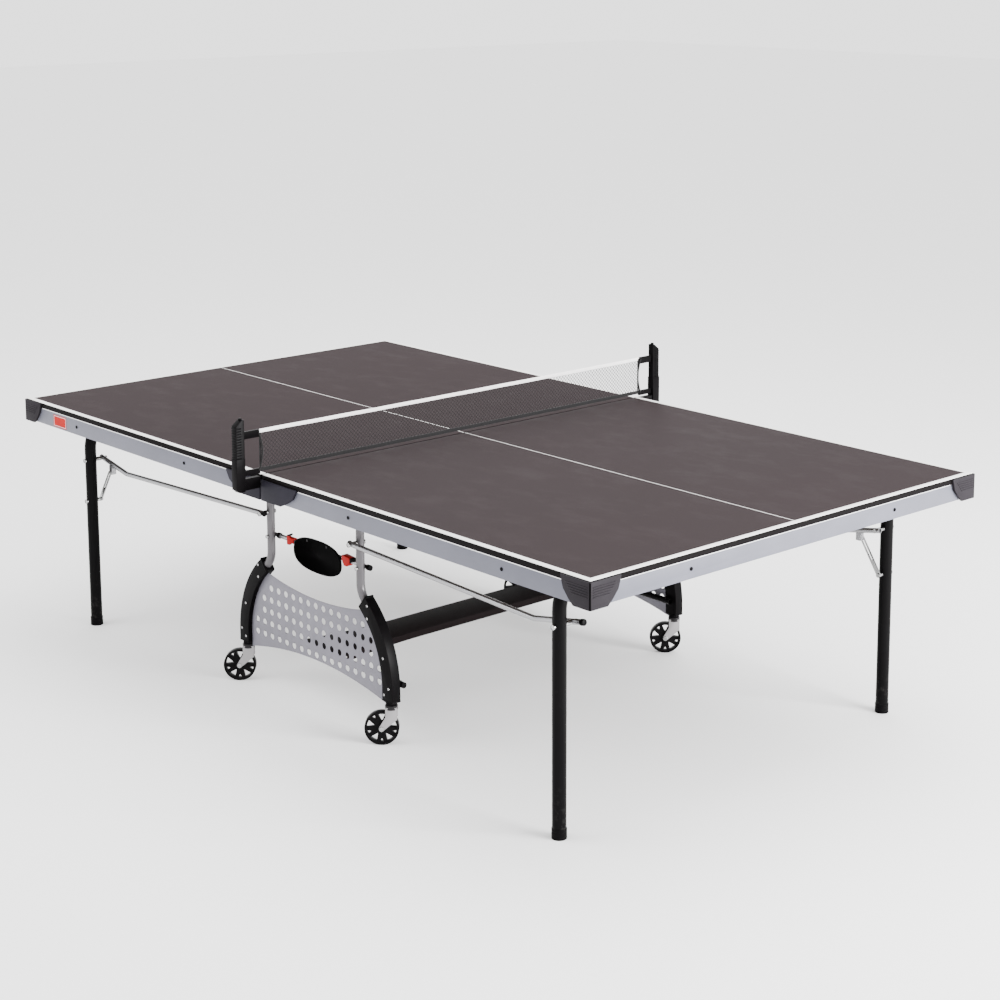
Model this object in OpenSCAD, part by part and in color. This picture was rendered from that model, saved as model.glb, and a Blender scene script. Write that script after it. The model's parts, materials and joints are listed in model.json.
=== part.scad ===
// Folding ping pong table. Two playing halves hinge on the posts of a wheeled carriage.
// Each half has an inverted U leg frame. A pair of link rods keeps it upright while the half folds.
// +X runs along the table, +Y across it, +Z up. The origin is on the floor under the middle of the net.
// The table is the same after half a turn about Z: an _l node is its _r node turned half way round,
// and a _far node is its _near node turned half way round. Only the casters all trail the same way.

/* [Playing top] */
// Length of the whole top, both halves
top_length = 2740; // [2600:1:3400]
// Width of the top
top_width = 1525; // [1480:1:1900]
// Height of the playing surface
top_height = 760; // [740:1:790]
// Thickness of the board
board_t = 18; // [15:1:18]
// Gap between the two halves
centre_gap = 7.2; // [7:0.1:9]

/* [Apron] */
// Height of the apron rails
apron_h = 53; // [48:1:60]
// Wall of the apron rails
apron_wall = 2.5; // [2:0.5:4]
// Width of the apron flanges
apron_flange = 22; // [16:1:28]
// How far the apron face sits inside the board edge
apron_inset = 1.5; // [1:0.5:4]
// Depth of the rails under the board
rail_depth = 30; // [20:1:36]
// Width of the rails under the board
rail_w = 22; // [16:1:30]

/* [Corner and centre pads] */
// Length of a corner pad along its top edge
pad_len = 106; // [90:1:130]
// Height of a corner pad
pad_h = 71; // [62:1:74]
// Length of a centre pad along its top edge
centre_pad_len = 171; // [140:1:190]
// Height of a centre pad
centre_pad_h = 61; // [56:1:64]
// How far a pad stands proud of the apron face
pad_proud = 7.5; // [5:0.5:9]
// How far a corner pad reaches up over the edge of the board
pad_up = 15; // [8:1:16]
// How far a centre pad reaches up over the edge of the board
centre_pad_up = 3; // [1:1:8]

/* [Leg frames] */
// Distance of the legs from the middle, along the table
leg_x = 1148; // [1100:1:1200]
// Distance of the legs from the middle, across the table
leg_y = 657; // [640:1:690]
// Diameter of the leg tube
leg_d = 38; // [32:1:40]
// Wall of the leg tube
leg_wall = 1.5; // [1:0.5:3]
// Bend radius of the leg frame's upper corners
leg_bend = 115; // [80:1:140]
// Diameter of a foot cap
foot_d = 41; // [40:0.5:41]
// Height of a foot cap
foot_h = 28; // [20:1:40]
// Height of the brace pin on a leg
brace_z = 430; // [425:1:435]

/* [Fold linkage] */
// Distance of the posts and their pivots from the middle, along the table
post_x = 222; // [215:1:224]
// Depth of the fold pivots below the playing surface
pivot_drop = 39; // [39:0.5:40]
// Height from the rod pivots up to the fold pivots
link_h = 152; // [145:1:160]
// Distance of the link rods from the middle, across the table
rod_y = 610; // [608:1:612]
// Diameter of a link rod
rod_d = 16; // [14:1:16]
// Wall of a link rod
rod_wall = 1.5; // [1:0.5:2.5]
// Distance from a leg to the bend in its rod
rod_bend_x = 148; // [130:1:170]
// How far a rod's bend sits below its pivots
rod_bend_drop = 28; // [20:1:36]
// Distance from a leg to the brace joint on its rod
brace_x = 66; // [62:1:68]
// Height of the brace joint above the brace pin
brace_rise = 102; // [96:1:103]

/* [Carriage] */
// Distance of the posts from the middle, across the table
post_y = 580; // [578:1:582]
// Diameter of a post
post_d = 25; // [22:1:25]
// Wall of a post
post_wall = 1.5; // [1:0.5:2.5]
// Height where a post starts to bend outwards
bend_z = 447; // [430:1:455]
// Radius of the upper bend of a post
bend_r = 65; // [55:1:75]
// Radius of the long lower bend of a post
sweep_r = 302; // [280:1:320]
// Angle of both bends
bend_a = 51; // [46:1:54]
// Width of a shroud
shroud_w = 46; // [40:1:52]
// Depth of a shroud
shroud_t = 31; // [30:1:34]
// Wall of a shroud
shroud_wall = 2; // [1.5:0.5:2.5]
// Height of the bottom of the shrouds
shroud_z = 128; // [124:1:132]
// Height of the upper crossbars
bar_z = 493; // [484:1:494]
// Diameter of the upper crossbars
bar_d = 13; // [11:1:14]
// Height of the lower tubes
tube_z = 176; // [172:1:182]
// Diameter of the lower tubes
tube_d = 20; // [16:1:20]

/* [Side panels] */
// Thickness of a side panel
panel_t = 2; // [1.5:0.5:3]
// Height of the panel's upper edge at its middle
panel_top = 345; // [340:1:355]
// Radius of the panel's upper edge
panel_top_r = 1130; // [1000:10:1400]
// Height of the panel's lower edge at its middle
panel_bottom = 156; // [150:1:160]
// Radius of the panel's lower edge
panel_bottom_r = 1390; // [1300:10:1600]
// Distance between holes
hole_pitch = 38; // [36:0.5:39]
// Diameter of a hole
hole_d = 20; // [14:0.5:24]
// Height of the lowest row of holes
hole_z = 172; // [168:1:176]
// Length of the name plate
plate_w = 236; // [200:1:240]
// Height of the name plate
plate_h = 102; // [80:1:110]
// Height of the name plate's middle
plate_z = 474; // [468:1:480]

/* [Shelf] */
// Width of the shelf at its middle
shelf_w = 136; // [110:1:150]
// Width of the shelf at its ends
shelf_end_w = 220; // [180:1:240]
// Length of the straight part of the shelf
shelf_straight = 500; // [400:1:700]
// Sheet thickness of the shelf
shelf_t = 2.5; // [1.5:0.5:4]
// Height of the shelf's turned-down edges
shelf_lip = 20; // [12:1:30]

/* [Casters] */
// Diameter of a wheel
wheel_d = 100; // [90:1:104]
// Width of a wheel
wheel_w = 22; // [18:1:26]
// Diameter of an axle
axle_d = 8; // [6:1:10]
// Distance from a caster's swivel axis back to its axle
caster_trail = 28; // [24:1:34]
// Direction the wheels trail in, turned from +X
caster_turn = 228; // [0:1:359]
// Diameter of a caster stem
stem_d = 16; // [12:1:18]

/* [Net] */
// Height of the net's top edge above the playing surface
net_h = 134; // [120:1:153]
// Height of the net's bottom edge above the playing surface
net_gap = 9; // [8:1:20]
// Thickness of the net with its bands
net_t = 4; // [2:0.5:6]
// Gap between the board's edge and the end of the net, across the table
net_over = 5.5; // [3:0.5:10]
// Distance from the board's edge to the middle of a net post
net_post_out = 76.5; // [60:0.5:90]
// Thickness of a net post along the table
net_post_t = 22; // [18:1:26]
// Width of a net post across the table
net_post_w = 28; // [22:1:32]
// Height of the net post's top above the playing surface
net_post_h = 171; // [160:1:190]
// Depth of the net post's foot below the playing surface
net_post_drop = 40; // [30:1:60]

/* [Hidden] */
$fn = 48;
fit = 0.05;             // running clearance of a pin in its bore, on the radius
open_fit = 0.4;         // clearance of the rod ends on the legs, where the linkage is left open
lap = 0.05;             // how far the ball where two runs of a tube meet stands out of the tube
gap = 0.5;              // clearance between pieces that move past each other
pin_r = 4;              // radius of the rod and brace pins
pivot_r = 5;            // radius of the fold pivots
bracket_t = 4;          // sheet of the hinge brackets
head_t = 3;             // height of a bolt head
half_l = top_length / 2;
half_w = top_width / 2;
board_z = top_height - board_t;
apron_z = board_z - apron_h;
apron_x = half_l - apron_inset;
apron_y = half_w - apron_inset;
inner_x = centre_gap / 2;
pivot_z = top_height - pivot_drop;
rod_z = pivot_z - link_h;
leg_r = leg_d / 2;
rod_r = rod_d / 2;
post_r = post_d / 2;
bend_end = [post_x + bend_r * (1 - cos(bend_a)), bend_z - bend_r * sin(bend_a)];
sweep_c = [bend_end[0] - sweep_r * cos(bend_a), bend_end[1] - sweep_r * sin(bend_a)];
stem_x = sweep_c[0] + sweep_r;
bar_y = post_y - post_r - bar_d / 2;
tube_y = post_y - shroud_t / 2 - tube_d / 2;
rod_bend = [leg_x - rod_bend_x, rod_z - rod_bend_drop];
rod_bend_r = 80;        // radius of a rod's bend
brace_joint = [leg_x - brace_x, brace_z + brace_rise];
brace_len = sqrt(pow(brace_x, 2) + pow(brace_rise, 2));
brace_a = atan2(brace_x, brace_rise);
brace_gap = leg_y - leg_r - rod_y - rod_r;
brace_y = rod_y + rod_r + brace_gap * 0.35;
net_end = half_w + net_over;
net_post_y = half_w + net_post_out;

// ---- helpers ----

module turned() { rotate([0, 0, 180]) children(); }

module both_sides() {
    children();
    mirror([0, 1, 0]) children();
}

// A round bar along Y from y0 to y1
module bar_y_axis(x, z, r, y0, y1) {
    translate([x, y0, z]) rotate([-90, 0, 0]) cylinder(r = r, h = y1 - y0);
}

// A round bar along X from x0 to x1
module bar_x_axis(y, z, r, x0, x1) {
    translate([x0, y, z]) rotate([0, 90, 0]) cylinder(r = r, h = x1 - x0);
}

// An outline drawn in X and Z, given a thickness along Y from y0 to y1
module plate_xz(y0, y1) {
    translate([0, y1, 0]) rotate([90, 0, 0]) linear_extrude(height = y1 - y0) children();
}

// ---- playing halves ----

module top_half() {
    color("dimgray") translate([inner_x, -half_w, board_z]) cube([half_l - inner_x, top_width, board_t]);
}

// Channel section with its web at the origin and its flanges towards +X, standing on z = 0
module channel_2d(w, h) {
    difference() {
        square([w, h]);
        translate([apron_wall, apron_wall]) square([w, h - 2 * apron_wall]);
    }
}

module apron_sides() {
    color("silver") both_sides() translate([inner_x, -apron_y, apron_z])
        rotate([90, 0, 90]) linear_extrude(height = apron_x - inner_x) channel_2d(apron_flange, apron_h);
}

module apron_end() {
    inside = apron_y - apron_wall;
    flange_end = apron_y - apron_flange;
    color("silver") difference() {
        translate([apron_x, inside, apron_z]) rotate([90, 0, 0]) linear_extrude(height = 2 * inside)
            mirror([1, 0]) translate([apron_wall, 0]) channel_2d(apron_flange, apron_h);
        for (s = [-1, 1], z = [apron_z, board_z - apron_wall])
            translate([apron_x - apron_flange - 2 * apron_wall, s > 0 ? flange_end : -inside - 1, z - 1])
                cube([apron_flange + 2 * apron_wall + 1, inside + 1 - flange_end, apron_wall + 2]);
    }
}

// A rail across the inner end and a stiffener down the middle, stopping short of the leg frame
module under_rails() {
    rail_x = inner_x + 6;
    rail_half = post_y - post_r - 3 * rail_w / 2;
    stiff_end = leg_x - leg_r - 12;
    color("gray") {
        translate([rail_x, -rail_half, board_z - rail_depth]) cube([rail_w, 2 * rail_half, rail_depth]);
        translate([rail_x + rail_w - 1, -rail_w, board_z - rail_depth])
            cube([stiff_end - rail_x - rail_w + 1, 2 * rail_w, rail_depth]);
    }
}

// Side view of a pad from its square end at the origin towards +X, its free end curving under
module pad_2d(len, h) {
    outline = [[0, 0], [0.55, 0], [0.72, 0.22], [0.9, 0.52], [0.99, 0.9], [1, 1], [0, 1]];
    polygon([for (p = outline) [p[0] * len, p[1] * h]]);
}

// A pad wraps the corner with two lobes and a rounded outer edge
module corner_pad() {
    face_x = apron_x + pad_proud;
    face_y = apron_y + pad_proud;
    pad_z = board_z + pad_up - pad_h;
    edge_r = 6;
    difference() {
        translate([face_x, -face_y, pad_z]) {
            translate([-edge_r, pad_proud, 0]) rotate([90, 0, 0]) linear_extrude(height = pad_proud)
                mirror([1, 0]) pad_2d(pad_len - edge_r, pad_h);
            translate([-pad_proud, edge_r, 0]) rotate([90, 0, 90]) linear_extrude(height = pad_proud)
                pad_2d(pad_len - edge_r, pad_h);
            translate([-edge_r, edge_r, 0]) cylinder(r = edge_r, h = pad_h);
        }
        translate([0, -apron_y, 0]) cube([apron_x, top_width, board_z]);
        translate([0, -half_w, board_z]) cube([half_l, top_width, board_t]);
    }
}

module corner_pads() { color("darkslategray") both_sides() corner_pad(); }

module centre_pad() {
    difference() {
        translate([inner_x, -apron_y, board_z + centre_pad_up - centre_pad_h]) rotate([90, 0, 0])
            linear_extrude(height = pad_proud) pad_2d(centre_pad_len, centre_pad_h);
        translate([0, -half_w, board_z]) cube([half_l, top_width, board_t]);
    }
}

module centre_pads() { color("darkslategray") both_sides() centre_pad(); }

// A U bracket astride each post carries the fold pivot, and saddles hold the leg frame's upper tube
module hinge_bracket() {
    w = 40;
    low = pivot_z - 14;
    outer = post_y + post_r + gap + bracket_t;
    inner = post_y - post_r - gap - bracket_t;
    difference() {
        union() {
            for (y = [-outer, -inner - bracket_t])
                translate([post_x - w / 2, y, low]) cube([w, bracket_t, board_z - low]);
            translate([post_x - w / 2, -outer, board_z - 3]) cube([w, outer - inner, 3]);
        }
        bar_y_axis(post_x, pivot_z, pivot_r + fit, -outer - 1, -inner + 1);
    }
}

module leg_saddle() {
    saddle_y = leg_y - leg_bend - 60;
    saddle_t = 6;
    r = leg_r + fit;
    difference() {
        translate([leg_x - leg_r - 10, -saddle_y, pivot_z - leg_r - 5])
            cube([leg_d + 20, saddle_t, board_z - pivot_z + leg_r + 5]);
        bar_y_axis(leg_x, pivot_z, r, -saddle_y - 1, -saddle_y + saddle_t + 1);
    }
}

module hinge_brackets() {
    color("gray") both_sides() { hinge_bracket(); leg_saddle(); }
}

// ---- leg frames ----

// The leg frame's tube as a solid of radius r
module leg_path(r) {
    corner_y = leg_y - leg_bend;
    corner_z = pivot_z - leg_bend;
    for (s = [-1, 1]) {
        translate([leg_x, s * leg_y, 4]) cylinder(r = r, h = corner_z - 4);
        translate([leg_x, s * corner_y, corner_z]) rotate([90, 0, s > 0 ? 90 : -90])
            rotate_extrude(angle = 90) translate([leg_bend, 0]) circle(r = r);
    }
    bar_y_axis(leg_x, pivot_z, r, -corner_y, corner_y);
}

module leg_frame(brace_s) {
    color("black") difference() {
        leg_path(leg_r);
        leg_path(leg_r - leg_wall);
        for (s = [-1, 1]) bar_y_axis(leg_x, rod_z, pin_r + fit, s * leg_y - leg_d, s * leg_y + leg_d);
        bar_y_axis(leg_x, brace_z, pin_r + fit, brace_s * leg_y - leg_d, brace_s * leg_y + leg_d);
    }
}

module foot_caps() {
    color("black") both_sides() translate([leg_x, -leg_y, 0]) difference() {
        union() {
            cylinder(r1 = foot_d / 2 - 3, r2 = foot_d / 2, h = 6);
            translate([0, 0, 6]) cylinder(d = foot_d, h = foot_h - 6);
        }
        translate([0, 0, 4]) cylinder(r = leg_r, h = foot_h);
    }
}

// A bolt through a leg with a head outside, a sleeve inside and a nut past y_end
module leg_bolt(z, y_end) {
    outer = -leg_y - leg_r;
    inner = -leg_y + leg_r;
    bar_y_axis(leg_x, z, pin_r, outer - 1, y_end);
    bar_y_axis(leg_x, z, pin_r + 3, outer - head_t, outer + fit);
    bar_y_axis(leg_x, z, pin_r + 2, y_end - 0.5, y_end + head_t);
}

module leg_pins() {
    inner = -leg_y + leg_r;
    color("silver") {
        both_sides() {
            leg_bolt(rod_z, -rod_y + rod_r + gap + 0.5);
            bar_y_axis(leg_x, rod_z, pin_r + 3, inner, -rod_y - rod_r - gap);
        }
        mirror([0, 1, 0]) {
            leg_bolt(brace_z, -brace_y + bracket_t / 2 + gap + 0.5);
            bar_y_axis(leg_x, brace_z, pin_r + 2, inner, -brace_y - bracket_t / 2 - gap);
        }
    }
}

// ---- link rods and braces ----

// The rod's centreline: a long run from the post, a short bend, and a run past the leg
module rod_path(r, over) {
    long_run = norm(rod_bend - [post_x, rod_z]);
    short_run = norm([rod_bend_x, rod_bend_drop]);
    dip = atan2(rod_bend_drop, rod_bend[0] - post_x);
    rise = atan2(rod_bend_drop, rod_bend_x);
    tangent = rod_bend_r * tan((dip + rise) / 2);
    translate([rod_bend[0], -rod_y, rod_bend[1]]) {
        rotate([0, dip - 90, 0]) {
            translate([0, 0, tangent]) cylinder(r = r, h = long_run - tangent + rod_r + 2);
            translate([0, 0, tangent]) sphere(r = r + lap);
        }
        rotate([0, 90 - rise, 0]) {
            translate([0, 0, tangent]) cylinder(r = r, h = short_run - tangent + over);
            translate([0, 0, tangent]) sphere(r = r + lap);
        }
        rotate([0, -rise, 0]) translate([tangent, 0, rod_bend_r]) rotate([90, 0, 0])
            rotate([0, 0, -90 - dip - rise]) rotate_extrude(angle = dip + rise)
                translate([rod_bend_r, 0]) circle(r = r);
    }
}

plug_over = 30;         // how far the long rods run past the leg
plain_over = 12;        // how far the short rods run past the leg

// A link rod seen from the near side, with the block that holds the brace when it has one
module link_rod(over, braced) {
    block = 16;
    joint_z = brace_joint[1];
    color("lightgray") difference() {
        union() {
            rod_path(rod_r, over);
            if (braced) translate([brace_joint[0] - block / 2, -brace_y + bracket_t / 2 + gap, joint_z - 6])
                cube([block, brace_y - rod_y - bracket_t / 2 - gap + 4, 30]);
        }
        rod_path(rod_r - rod_wall, over + 1);
        bar_y_axis(post_x, rod_z, pin_r + fit, -rod_y - rod_d, -rod_y + rod_d);
        bar_y_axis(leg_x, rod_z, pin_r + open_fit, -rod_y - rod_d, -rod_y + rod_d);
    }
}

module rod_plug() {
    a = atan2(rod_bend_x, rod_bend_drop);
    color("black") translate([leg_x, -rod_y, rod_z]) rotate([0, a, 0]) translate([0, 0, plug_over])
        cylinder(r = rod_r + 1, h = 14);
}

// A flat slotted bar from the leg pin up to the rod, on the near side
module brace() {
    w = 14;
    slot_w = 6;
    slot_low = 52;
    color("silver") translate([leg_x, 0, brace_z]) rotate([0, -brace_a, 0])
        plate_xz(-brace_y - bracket_t / 2, -brace_y + bracket_t / 2) difference() {
            union() {
                circle(d = w);
                translate([0, brace_len]) circle(d = w);
                translate([-w / 2, 0]) square([w, brace_len]);
            }
            circle(r = pin_r + fit);
            for (y = [slot_low, brace_len]) translate([0, y]) circle(d = slot_w);
            translate([-slot_w / 2, slot_low]) square([slot_w, brace_len - slot_low]);
        }
}

// ---- carriage ----

// A post's centreline swept with the given section, from z_low up to z_top, at x > 0 and y = 0
module post_sweep(z_low, z_top) {
    if (z_top > bend_z) translate([post_x, 0, bend_z])
        linear_extrude(height = z_top - bend_z) children();
    if (z_top > bend_z) translate([post_x + bend_r, 0, bend_z]) rotate([-90, 0, 0]) rotate([0, 0, 180 - bend_a])
        rotate_extrude(angle = bend_a) translate([bend_r, 0]) children();
    translate([sweep_c[0], 0, sweep_c[1]]) rotate([90, 0, 0])
        rotate_extrude(angle = bend_a) translate([sweep_r, 0]) children();
    translate([stem_x, 0, z_low]) linear_extrude(height = sweep_c[1] - z_low) children();
}

// Balls where the runs of a post meet
module post_joints(r) {
    for (p = [[post_x, bend_z], bend_end, [stem_x, sweep_c[1]]]) translate([p[0], 0, p[1]]) sphere(r = r + lap);
}

module post() {
    z_low = shroud_z - 8;
    z_top = pivot_z + post_r - 2;
    inner_r = post_r - post_wall;
    translate([0, -post_y, 0]) difference() {
        union() {
            post_sweep(z_low, z_top) circle(r = post_r);
            post_joints(post_r);
        }
        post_sweep(shroud_z + 30, z_top + 1) circle(r = inner_r);
        post_joints(inner_r);
        translate([stem_x, 0, z_low - 1]) cylinder(d = stem_d + 2 * fit, h = 50);
        bar_y_axis(post_x, pivot_z, pivot_r + fit, -post_d, post_d);
        bar_y_axis(post_x, rod_z, pin_r + fit, -post_d, post_d);
        bar_y_axis(post_x, bar_z, pin_r - 1 + fit, -post_d, post_d);
    }
}

module posts() { color("lightgray") for (s = [0, 1]) mirror([s, 0, 0]) post(); }

module shroud_half() {
    inner_w = shroud_w - 2 * shroud_wall;
    inner_t = shroud_t - 2 * shroud_wall;
    translate([0, -post_y, 0]) post_sweep(shroud_z, bend_z - 1) difference() {
        square([shroud_w, shroud_t], center = true);
        square([inner_w, inner_t], center = true);
    }
}

module shrouds() { color("black") for (s = [0, 1]) mirror([s, 0, 0]) shroud_half(); }

// Outline of a side panel: arcs above and below, and its ends on the shrouds' inner faces
module panel_2d() {
    inner_r = sweep_r - shroud_w / 2;
    difference() {
        for (s = [0, 1]) mirror([s, 0]) {
            intersection() {
                translate(sweep_c) circle(r = inner_r, $fn = 180);
                translate([0, sweep_c[1]]) square([inner_r * 2, inner_r]);
            }
            translate([0, shroud_z - 16]) square([sweep_c[0] + inner_r, sweep_c[1] - shroud_z + 16]);
        }
        translate([0, panel_top + panel_top_r]) circle(r = panel_top_r, $fn = 360);
        translate([0, panel_bottom - panel_bottom_r]) circle(r = panel_bottom_r, $fn = 360);
    }
}

module side_panel() {
    row_half = [8, 8, 7, 7, 6];     // holes to each side of the middle, from the lowest row up
    color("silver") plate_xz(-post_y - panel_t / 2, -post_y + panel_t / 2) difference() {
        panel_2d();
        for (row = [0:4], i = [-row_half[row]:row_half[row]])
            translate([i * hole_pitch, hole_z + row * hole_pitch]) circle(d = hole_d, $fn = 24);
    }
}

bar_over = 10;          // how far a crossbar runs past the post at its capped end

module crossbar() {
    color("lightgray") difference() {
        bar_x_axis(-bar_y, bar_z, bar_d / 2, -post_x - 6, post_x + bar_over);
        bar_x_axis(-bar_y, bar_z, bar_d / 2 - 1.5, -post_x - 7, post_x + bar_over + 1);
        for (s = [-1, 1]) bar_y_axis(s * post_x, bar_z, pin_r - 1 + fit, -bar_y - bar_d, -bar_y + bar_d);
    }
}

// End caps and collars of the tubes on the near side
module near_caps() {
    collar = post_x - post_r;
    bar_x_axis(-bar_y, bar_z, bar_d / 2 + 2, post_x + bar_over, post_x + bar_over + 14);
    for (x = [-collar, collar - 10]) difference() {
        bar_x_axis(-bar_y, bar_z, bar_d / 2 + 2.5, x, x + 10);
        bar_x_axis(-bar_y, bar_z, bar_d / 2, x - 1, x + 11);
    }
    bar_x_axis(-tube_y, tube_z, tube_d / 2 - 1, stem_x + 8, stem_x + 28);
}

module bar_caps() { color("black") { near_caps(); turned() near_caps(); } }

module lower_tube() {
    color("black") difference() {
        bar_x_axis(-tube_y, tube_z, tube_d / 2, -stem_x - 8, stem_x + 8);
        bar_x_axis(-tube_y, tube_z, tube_d / 2 - 1.5, -stem_x - 9, stem_x + 9);
    }
}

// Half width of the shelf at distance y from its middle: straight, then flaring in an arc
function flare(y) = shelf_w / 2 + (y <= shelf_straight / 2 ? 0
    : (shelf_end_w - shelf_w) / 2 * pow((y - shelf_straight / 2) / (post_y - shelf_straight / 2), 2));

module shelf_2d(end, inset) {
    steps = [shelf_straight / 2 : (end - shelf_straight / 2) / 10 : end + 0.01];
    side = [for (y = steps) [flare(y) - inset, y]];
    polygon(concat(side, [for (i = [10:-1:0]) [-side[i][0], side[i][1]]],
        [for (p = side) [-p[0], -p[1]]], [for (i = [10:-1:0]) [side[i][0], -side[i][1]]]));
}

module shelf() {
    z = tube_z + tube_d / 2;
    lip_end = tube_y - tube_d / 2 - 3;
    color("black") {
        translate([0, 0, z]) linear_extrude(height = shelf_t) shelf_2d(tube_y + 6, 0);
        translate([0, 0, z + shelf_t - shelf_lip]) linear_extrude(height = shelf_lip) difference() {
            shelf_2d(lip_end, 0);
            shelf_2d(lip_end + 1, shelf_t);
        }
    }
}

// A cosine or sine drawn out towards its ends, which makes an oval fuller at its corners
function fuller(c) = sign(c) * pow(abs(c), 0.8);

// A blank oval plate in front of the upper crossbar, with two hooks over it
module name_plate() {
    y0 = -bar_y - bar_d / 2 - 5;
    rim = [for (a = [0:5:355]) [plate_w / 2 * fuller(cos(a)), plate_z + plate_h / 2 * fuller(sin(a))]];
    color("black") {
        plate_xz(y0, y0 + 4) polygon(rim);
        for (s = [-1, 1]) difference() {
            translate([s * plate_w / 4 - 6, y0 + 3, bar_z - bar_d / 2 - 3])
                cube([12, bar_d / 2 + 4, bar_d + 6]);
            bar_x_axis(-bar_y, bar_z, bar_d / 2, -plate_w, plate_w);
        }
    }
}

// The bolts of one post: the fold pivot, the rod pivot with its spacer, and the crossbar bolt
module post_bolts() {
    front = -post_y - post_r;
    back = -post_y + post_r;
    plate_out = front - gap - bracket_t;
    plate_in = back + gap + bracket_t;
    bar_y_axis(post_x, pivot_z, pivot_r, plate_out - fit - head_t, plate_in + fit + head_t);
    bar_y_axis(post_x, pivot_z, pivot_r + 3, plate_out - 0.3 - head_t, plate_out - 0.3);
    bar_y_axis(post_x, pivot_z, pivot_r + 3, plate_in + 0.3, plate_in + 0.3 + head_t);
    bar_y_axis(post_x, rod_z, pin_r, -rod_y - rod_r - gap - 1, back + head_t);
    bar_y_axis(post_x, rod_z, pin_r + 3, -rod_y - rod_r - gap - head_t, -rod_y - rod_r - gap);
    bar_y_axis(post_x, rod_z, pin_r + 3, back, back + head_t);
    difference() {
        bar_y_axis(post_x, rod_z, pin_r + 3, -rod_y + rod_r + gap, front - 0.5);
        bar_y_axis(post_x, rod_z, pin_r - 1, -rod_y, front);
    }
    bar_y_axis(post_x, bar_z, pin_r - 1, front - head_t, -bar_y + bar_d / 2 + head_t);
    bar_y_axis(post_x, bar_z, pin_r + 1, front - head_t, front - 0.3);
    bar_y_axis(post_x, bar_z, pin_r + 1, -bar_y + bar_d / 2 + 0.3, -bar_y + bar_d / 2 + head_t);
}

module frame_bolts() {
    color("silver") for (s = [0, 1], t = [0, 180]) rotate([0, 0, t]) mirror([s, 0, 0]) post_bolts();
}

// Screw heads on the front of one shroud, placed along the long bend by angle and offset
module shroud_screw_set() {
    for (p = [[47, 15], [42, -12], [18, 0]])
        translate([sweep_c[0] + (sweep_r + p[1]) * cos(p[0]), 0, sweep_c[1] + (sweep_r + p[1]) * sin(p[0])])
            screw_head();
    translate([stem_x + 9, 0, sweep_c[1] + 8]) screw_head();
    translate([stem_x - 12, 0, sweep_c[1] - 14]) screw_head();
}

module screw_head() {
    front = -post_y - shroud_t / 2;
    bar_y_axis(0, 0, 3.5, front - 1.5, front);
}

module shroud_screws() {
    color("silver") for (s = [0, 1], t = [0, 180]) rotate([0, 0, t]) mirror([s, 0, 0]) shroud_screw_set();
}

// A tapered block that turns on the near crossbar
module latch_block() {
    grip_r = bar_d / 2 + 4;
    color("crimson") difference() {
        translate([latch_r, 0, bar_z]) plate_xz(-bar_y - grip_r, -bar_y + grip_r)
            polygon([[-27, 14], [23, 10], [23, 6], [-4, -16], [-18, -16], [-27, 0]]);
        bar_x_axis(-bar_y, bar_z, bar_d / 2 + fit, latch_r - 40, latch_r + 40);
    }
}

// A sleeve that turns on the near crossbar, with an upright blade at one end
module latch_blade() {
    sleeve_r = bar_d / 2 + 3.5;
    front = -bar_y - sleeve_r;
    color("crimson") difference() {
        union() {
            bar_x_axis(-bar_y, bar_z, sleeve_r, latch_l - 6, latch_l + 27);
            translate([latch_l, 0, bar_z]) plate_xz(front, front + 6)
                polygon([[-6, -14], [6, -14], [27, 0], [27, 9], [7, 9], [7, 13], [19, 20], [16, 24], [-6, 15]]);
        }
        bar_x_axis(-bar_y, bar_z, bar_d / 2 + fit, latch_l - 40, latch_l + 40);
    }
}

latch_r = 148;          // place of the latch block on a crossbar
latch_l = -148;         // place of the latch blade on a crossbar

// ---- casters ----

module at_caster(x_side, y_side) {
    translate([x_side * stem_x, y_side * post_y, 0]) rotate([0, 0, caster_turn]) children();
}

// Fork with its stem and axle, trailing towards +X
module fork() {
    plate_in = wheel_w / 2 + 1.5;
    plate_t = 2.5;
    crown_z = shroud_z - 16;
    axle_z = wheel_d / 2;
    w = 17;
    color("gainsboro") {
        for (s = [-1, 1]) {
            y0 = s > 0 ? plate_in : -plate_in - plate_t;
            plate_xz(y0, y0 + plate_t) {
                polygon([[-w, crown_z], [-w, axle_z + 28], [caster_trail - 4, axle_z - 7],
                    [caster_trail + 7, axle_z + 4], [w, axle_z + 34], [w, crown_z]]);
                translate([caster_trail, axle_z]) circle(r = 8);
            }
        }
        translate([-w, -plate_in - plate_t, crown_z - plate_t]) cube([2 * w, 2 * (plate_in + plate_t), plate_t]);
        translate([0, 0, crown_z - 1]) cylinder(d = 34, h = 6);
        translate([0, 0, crown_z]) cylinder(d = stem_d, h = 34);
        bar_y_axis(caster_trail, axle_z, axle_d / 2, -plate_in - plate_t - 3, plate_in + plate_t + 3);
    }
}

// An opening between the spokes, narrow towards the hub
module spoke_window(inner, outer, half_w) {
    polygon([[inner, -1], [outer - 1.5, -half_w], [outer, 0], [outer - 1.5, half_w], [inner, 1]]);
}

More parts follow.
